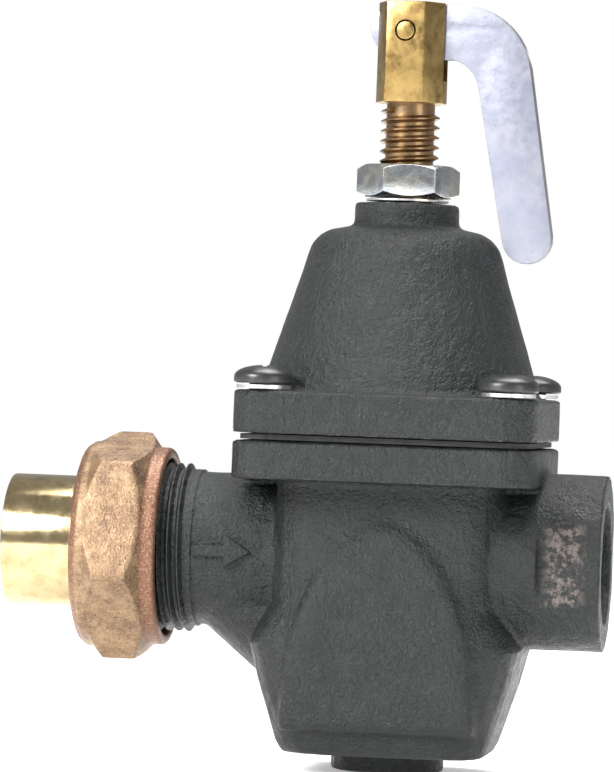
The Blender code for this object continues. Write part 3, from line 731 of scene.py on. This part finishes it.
# %% The lever pin
PIN_R = 1.5
PIN_PROUD = 0.15
pin_mesh = rod_across(PIN_R, HEAD_FLATS + 2 * PIN_PROUD)
rims = [e for e in pin_mesh.edges if abs(e.calc_face_angle(0)) > 1.0]
bmesh.ops.bevel(pin_mesh, geom=rims, offset=0.25, segments=3, profile=0.5, affect="EDGES", material=-1)
keep(pin_mesh, "pivot_pin", head_brass, "screw", ["lever_pin"])

# %% [markdown]
# ### The lever and the lock nut
#
# Both keep their CAD outline. What the CAD lacks is a broken edge, so each merged copy gets a bevel on
# its sharp corners only: the edges where two faces meet at more than about thirty degrees. The lever
# is cut from plate, and every face that doesn't lie in the plate then takes the darker edge finish,
# which is painted shade and painted dark reflection for the plate's edges.


# %% Break the sharp edges of a copy
def broken_edges(node, width, segments=3, least=30):
    mesh = copied(node)
    bmesh.ops.dissolve_limit(mesh, angle_limit=radians(1), verts=mesh.verts, edges=mesh.edges)
    sharp = [e for e in mesh.edges if e.is_manifold and e.calc_face_angle() > radians(least)]
    bmesh.ops.bevel(mesh, geom=sharp, offset=width, segments=segments, profile=0.5, affect="EDGES",
                    material=-1, clamp_overlap=True)
    return mesh


lever = keep(broken_edges("fill_lever", 0.3), "lever_stamping", lever_zinc, "lever", ["fill_lever"],
             28)
lever.data.materials.append(edge_shade_zinc)
# faces that don't lie in the plate take the painted edge shade finish
plate_normal = HEAD_TURN @ Vector((0, 1, 0))
for face in lever.data.polygons:
    face.material_index = 0 if abs(face.normal.dot(plate_normal)) > 0.9 else 1
keep(broken_edges("jam_nut", 0.16, 2), "lock_nut_zinc", nut_zinc, "lock_nut", ["jam_nut"], 28)

# %% [markdown]
# A thin washer lies between the lock nut and the bonnet. It shows as one bright line.

# %% The washer under the lock nut
washer_lo, washer_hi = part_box("jam_washer")
washer_low, washer_high = washer_lo.z / MM, washer_hi.z / MM
washer_r = washer_hi.x / MM
washer_bore_r = STEM_R + 0.2
washer_mesh = bmesh.new()
spun(washer_mesh, [(washer_bore_r, washer_low), (washer_r, washer_low), (washer_r, washer_high),
                   (washer_bore_r, washer_high)])
keep(washer_mesh, "lock_nut_washer", washer_zinc, "lock_washer", ["jam_washer"])

# %% [markdown]
# ### The bonnet screws
#
# Four pan-head screws clamp the diaphragm. One screw's profile is spun and moved to each corner, where
# the CAD box of that screw says. A cross is cut in each head, turned a little differently on each one,
# because nobody lines up four screws. A bright spring washer shows as a sliver under each head.

# %% Screws and washers at the four corners
CROSS_TURNS = (12, 55, 31, 78)
HEAD_HEIGHT = 2.9
SHANK_R = 2.3
WASHER_BORE_R = 2.75
for number, cross in enumerate(CROSS_TURNS, 1):
    lo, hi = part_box(f"bonnet_screw_{number}")
    x, y, top, low = (lo.x + hi.x) / 2 / MM, (lo.y + hi.y) / 2 / MM, hi.z / MM, lo.z / MM
    head_r = (hi.x - lo.x) / 2 / MM
    seat = top - HEAD_HEIGHT
    dome = [(head_r * cos(radians(a)), seat + 1.0 + 1.9 * sin(radians(a))) for a in range(0, 86, 12)]
    screw_mesh = bmesh.new()
    spun(screw_mesh, [(0, low), (1.6, low), (1.6, seat - 7.6), (SHANK_R, seat - 7.0), (SHANK_R, seat),
                      (head_r - 0.25, seat), (head_r, seat + 0.25), *dome, (0, top)], 64)
    bmesh.ops.translate(screw_mesh, vec=(x, y, 0), verts=screw_mesh.verts)
    screw = keep(screw_mesh, f"pan_screw_{number}", screw_black, HOUSING, [f"bonnet_screw_{number}"])
    for quarter in (0, 90):
        recess = bar((4.6, 0.9, 3.0), (0, 0, top + 0.2))
        turn = Matrix.Rotation(radians(cross + quarter), 3, "Z")
        bmesh.ops.rotate(recess, verts=recess.verts, cent=(0, 0, 0), matrix=turn)
        bmesh.ops.translate(recess, vec=(x, y, 0), verts=recess.verts)
        with_tool(screw, keep(recess, "recess_tool", screw_black, None, []), "DIFFERENCE")
    lo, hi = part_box(f"lock_washer_{number}")
    ring_r, ring_low, ring_high = (hi.x - lo.x) / 2 / MM, lo.z / MM, hi.z / MM
    ring = bmesh.new()
    spun(ring, [(WASHER_BORE_R, ring_low), (ring_r, ring_low), (ring_r, ring_high),
                (WASHER_BORE_R, ring_high)], 64)
    bmesh.ops.translate(ring, vec=(x, y, 0), verts=ring.verts)
    keep(ring, f"spring_washer_{number}", washer_zinc, HOUSING, [f"lock_washer_{number}"])

# %% [markdown]
# The plug closes the casting from below. It has a shallow recess in its foot.

# %% The bottom plug
plug_lo, plug_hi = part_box("bottom_plug")
PLUG_LOW, PLUG_HIGH = plug_lo.z / MM, plug_hi.z / MM
plug_mesh = bmesh.new()
PLUG_R = 9.0
PLUG_THREAD_R = 9.85
PLUG_SEAT_Z = -31.6
PLUG_THREAD_END_Z = -28.9
spun(plug_mesh, [(0, PLUG_LOW + 1.6), (4.8, PLUG_LOW + 1.6), (5.2, PLUG_LOW), (8.3, PLUG_LOW),
                 (8.8, PLUG_LOW + 0.2), (PLUG_R, PLUG_LOW + 0.7), (PLUG_R, PLUG_SEAT_Z),
                 (PLUG_THREAD_R, PLUG_SEAT_Z), (PLUG_THREAD_R, PLUG_THREAD_END_Z),
                 (5.6, PLUG_THREAD_END_Z), (5.6, PLUG_HIGH), (0, PLUG_HIGH)])
keep(plug_mesh, "plug_iron", iron_bonnet, HOUSING, ["bottom_plug"])

# %% [markdown]
# ### The parts inside
#
# The trim inside the castings keeps its CAD shape, because it only shows in a cutaway. Each node still
# gets a real finish, so that the pieces look right when the valve is taken apart.

# %% Finish the inner parts
INSIDE = {
    spring_steel: ("range_spring", "poppet_spring", "push_rod", "spring_button", "pressure_plate",
                   "valve_stem", "strainer_screen"),
    head_brass: ("stem_nut", "lower_plate", "disc_holder", "holder_nut", "seat_ring"),
    black_rubber: ("diaphragm", "poppet_disc", "plug_seal"),
    red_fibre: ("union_gasket",),
}
for finish, nodes in INSIDE.items():
    for node in nodes:
        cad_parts[node].material_slots[0].material = finish
print("inner parts finished:", sum(len(nodes) for nodes in INSIDE.values()))

# %% [markdown]
# ## The studio
#
# A pale floor, a pale surround and three large soft lights. The floor is a disc that glows slightly, so
# that it comes out as pale as the surround behind it and its far edge doesn't draw a horizon.

# %% Floor
FLOOR_R = 0.75
FLOOR_GAP = 0.0002
FLOOR_GLOW = 0.4
floor_mesh = bmesh.new()
bmesh.ops.create_circle(floor_mesh, cap_ends=True, segments=96, radius=FLOOR_R)
bmesh.ops.translate(floor_mesh, vec=(0, 0, cad_box[0].z - FLOOR_GAP), verts=floor_mesh.verts)
floor_data = bpy.data.meshes.new("floor")
floor_mesh.to_mesh(floor_data)
floor_mesh.free()
floor = bpy.data.objects.new("floor", floor_data)
bpy.context.scene.collection.objects.link(floor)
paper = Finish("studio_paper", 0.0)
paper.colour(paper.ramp(paper.noise(0.01), (0.3, (0.87, 0.87, 0.87)), (0.7, (0.89, 0.89, 0.89))))
paper.roughness(paper.noise(0.05), 0.85, 0.95)
paper.shader.inputs["Emission Color"].default_value = (1.0, 1.0, 1.0, 1.0)
paper.shader.inputs["Emission Strength"].default_value = FLOOR_GLOW
floor_data.materials.append(paper.made)

# %% [markdown]
# The surround is white where the camera sees it, but gives less than half of that as light. A fully
# bright one would wrap the dark iron in haze and hide its relief. The Light Path node tells the two
# apart. The key light stands high on the left, a weaker one on the right keeps the dark iron readable,
# and a wide one overhead draws the tops of the flanges.

# %% Surround and soft lights
surround = bpy.data.worlds.new("surround")
bpy.context.scene.world = surround
surround.use_nodes = True
surround.node_tree.nodes["Background"].inputs["Color"].default_value = (1.0, 1.0, 1.0, 1.0)
SURROUND_SEEN = 1.0
SURROUND_LIGHT = 0.4
seen_directly = surround.node_tree.nodes.new("ShaderNodeLightPath")
strength = surround.node_tree.nodes.new("ShaderNodeMapRange")
strength.inputs["To Min"].default_value = SURROUND_LIGHT
strength.inputs["To Max"].default_value = SURROUND_SEEN
surround.node_tree.links.new(seen_directly.outputs["Is Camera Ray"], strength.inputs["Value"])
surround.node_tree.links.new(strength.outputs["Result"],
                             surround.node_tree.nodes["Background"].inputs["Strength"])
bpy.context.scene.view_settings.view_transform = "Standard"
AIM = Vector((-0.01, 0, 0.03))
# each light has a place in metres, a width in metres and a power in watts
LIGHTS = {"key": ((-0.7, -0.8, 0.6), 0.45, 24.0), "fill": ((0.9, -0.8, 0.3), 0.6, 3.5),
          "top": ((0.1, 0.2, 1.1), 0.8, 22.0)}
for name, (place, size, power) in LIGHTS.items():
    soft_light = bpy.data.lights.new(name, "AREA")
    soft_light.size = size
    soft_light.energy = power
    lamp = bpy.data.objects.new(name, soft_light)
    lamp.location = place
    lamp.rotation_euler = (AIM - Vector(place)).to_track_quat("-Z", "Y").to_euler()
    bpy.context.scene.collection.objects.link(lamp)

# %% [markdown]
# ## The camera
#
# The camera stands level, 0.8 m away and 8 degrees round to the outlet's side. Its roll leans the
# picture 2.1 degrees clockwise. The lens is worked out from how much height the picture should hold.

# %% Camera
DISTANCE = 0.8
AROUND = radians(8.0)
ROLL = radians(2.1)
PICTURE_HEIGHT = 0.1235
LEFT_OF_SCREW = 0.015
EYE_HEIGHT = 0.0266
SENSOR = 36.0
across = Vector((cos(AROUND), sin(AROUND), 0))
back = Vector((sin(AROUND), -cos(AROUND), 0))
target = Vector((0, 0, EYE_HEIGHT)) - across * LEFT_OF_SCREW
lens = bpy.data.cameras.new("camera")
lens.sensor_width = SENSOR
lens.lens = SENSOR * DISTANCE / PICTURE_HEIGHT
lens.clip_start = 0.01
camera = bpy.data.objects.new("camera", lens)
facing = (-back).to_track_quat("-Z", "Y").to_matrix().to_4x4()
camera.matrix_world = Matrix.Translation(target + back * DISTANCE) @ facing @ Matrix.Rotation(ROLL, 4, "Z")
bpy.context.scene.collection.objects.link(camera)
bpy.context.scene.camera = camera
print("lens in mm:", round(lens.lens, 1))
